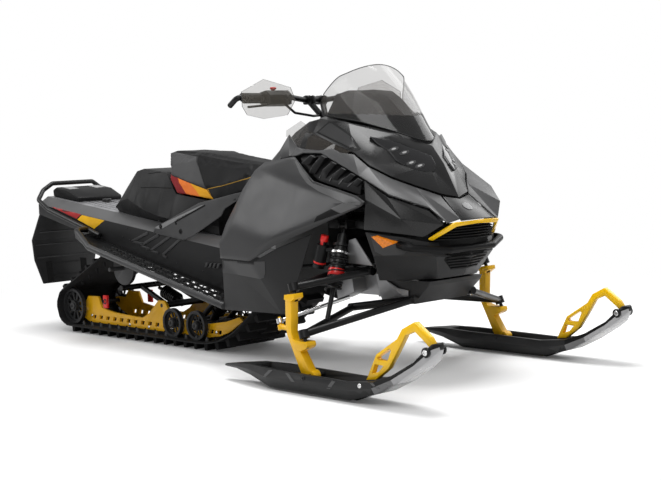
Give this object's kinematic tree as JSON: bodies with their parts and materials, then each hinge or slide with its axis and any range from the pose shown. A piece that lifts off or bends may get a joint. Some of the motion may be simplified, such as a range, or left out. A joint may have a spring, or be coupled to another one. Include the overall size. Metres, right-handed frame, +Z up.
{
  "type": "snowmobile",
  "caption": "Trail snowmobile with long track, tunnel, two-up seat, faceted body panels, screen and two steered skis on forged spindles.",
  "frame": {"origin": "on the ground under the middle of the machine", "axes": "+X forward, +Y to the machine's left, +Z up"},
  "size_m": [3.016, 1.211, 1.176],
  "materials": {
    "track_rubber": "moulded matt black",
    "wheel_plastic": "moulded black",
    "yellow_paint": "satin yellow coating",
    "yellow_plastic": "smooth yellow",
    "black_paint": "satin black coating",
    "black_plastic": "fine textured black",
    "black_gloss": "polished black",
    "panel_grey": "charcoal metallic",
    "panel_dark": "dark grey textured",
    "band_grey": "grey metallic",
    "tunnel_paint": "dark coating",
    "cast_aluminium": "as cast",
    "bright_steel": "bright plated",
    "seat_cover": "black vinyl with coloured side blocks",
    "grip_rubber": "ribbed black",
    "clear_screen": "clear, smoked low down",
    "smoked_glass": "smoked brown",
    "guard_plastic": "translucent whitish",
    "engine_block": "plain block",
    "lamp_red": "red lens"
  },
  "bodies": {
    "chassis": {"track": "track_rubber", "rear_idler_wheels": "wheel_plastic", "bogie_wheels": "wheel_plastic", "carrier_wheels": "wheel_plastic", "rails": "yellow_paint", "slide_shoes": "black_plastic", "skid_arms": "black_paint", "skid_shocks": "black_paint", "drive_axle": "bright_steel", "tunnel": "tunnel_paint", "running_boards": "black_paint", "grab_bar": "black_paint", "snow_flap": "black_plastic", "tail_deck": "black_plastic", "seat_base": "black_plastic", "seat": "seat_cover", "seat_brackets": "cast_aluminium", "console": "black_plastic", "side_panel_right": "panel_grey", "side_panel_left": "panel_grey", "lower_panels": "panel_dark", "hood": "black_gloss", "hood_bands": "band_grey", "nose_cowl": "black_gloss", "nose_trim": "yellow_plastic", "grille": "black_plastic", "bumper": "black_plastic", "belly_pan": "black_plastic", "louvres": "black_plastic", "windshield": "clear_screen", "dash_hood": "black_plastic", "side_windows": "smoked_glass", "side_deflectors": "clear_screen", "engine": "engine_block", "front_frame": "cast_aluminium", "control_arms": "black_paint", "shocks": "black_paint", "headlamps": "smoked_glass", "body_frame": "black_paint", "panel_stays": "black_paint", "reservoirs": "black_paint", "tail_lamp": "lamp_red"},
    "steering": {"handlebar": "black_paint", "grips": "grip_rubber", "handguards": "guard_plastic", "controls": "black_plastic"},
    "spindle_right": {"spindle_right": "yellow_paint"},
    "ski_right": {"ski_right": "black_plastic", "ski_handle_right": "yellow_plastic"},
    "tie_rod_right": {"tie_rod_right": "bright_steel"},
    "spindle_left": {"spindle_left": "yellow_paint"},
    "ski_left": {"ski_left": "black_plastic", "ski_handle_left": "yellow_plastic"},
    "tie_rod_left": {"tie_rod_left": "bright_steel"}
  },
  "joints": [
    {"name": "steer_bar", "type": "hinge", "parent": "chassis", "child": "steering", "pos_m": [0.392, 0, 1.055], "axis": [-0.5736, 0, 0.8192], "range_deg": [-35, 35]},
    {"name": "kingpin_right", "type": "hinge", "parent": "chassis", "child": "spindle_right", "pos_m": [0.884, -0.553, 0.176], "axis": [-0.3562, 0.0833, 0.9307], "range_deg": [-28, 28]},
    {"name": "rod_end_right", "type": "hinge", "parent": "spindle_right", "child": "tie_rod_right", "pos_m": [0.736, -0.541, 0.246], "axis": [-0.3562, 0.0833, 0.9307], "range_deg": [-28, 28]},
    {"name": "ski_pitch_right", "type": "hinge", "parent": "spindle_right", "child": "ski_right", "pos_m": [0.906, -0.5385, 0.064], "axis": [0, 1, 0], "range_deg": [-12, 12], "stiffness_Nm_per_rad": 150},
    {"name": "kingpin_left", "type": "hinge", "parent": "chassis", "child": "spindle_left", "pos_m": [0.884, 0.553, 0.176], "axis": [-0.3562, -0.0833, 0.9307], "range_deg": [-28, 28]},
    {"name": "rod_end_left", "type": "hinge", "parent": "spindle_left", "child": "tie_rod_left", "pos_m": [0.736, 0.541, 0.246], "axis": [-0.3562, -0.0833, 0.9307], "range_deg": [-28, 28]},
    {"name": "ski_pitch_left", "type": "hinge", "parent": "spindle_left", "child": "ski_left", "pos_m": [0.906, 0.5385, 0.064], "axis": [0, 1, 0], "range_deg": [-12, 12], "stiffness_Nm_per_rad": 150}
  ],
  "couplings": [
    {"joint": "kingpin_right", "follows": "steer_bar", "ratio": 0.8},
    {"joint": "rod_end_right", "follows": "steer_bar", "ratio": -0.8},
    {"joint": "kingpin_left", "follows": "steer_bar", "ratio": 0.8},
    {"joint": "rod_end_left", "follows": "steer_bar", "ratio": -0.8}
  ]
}
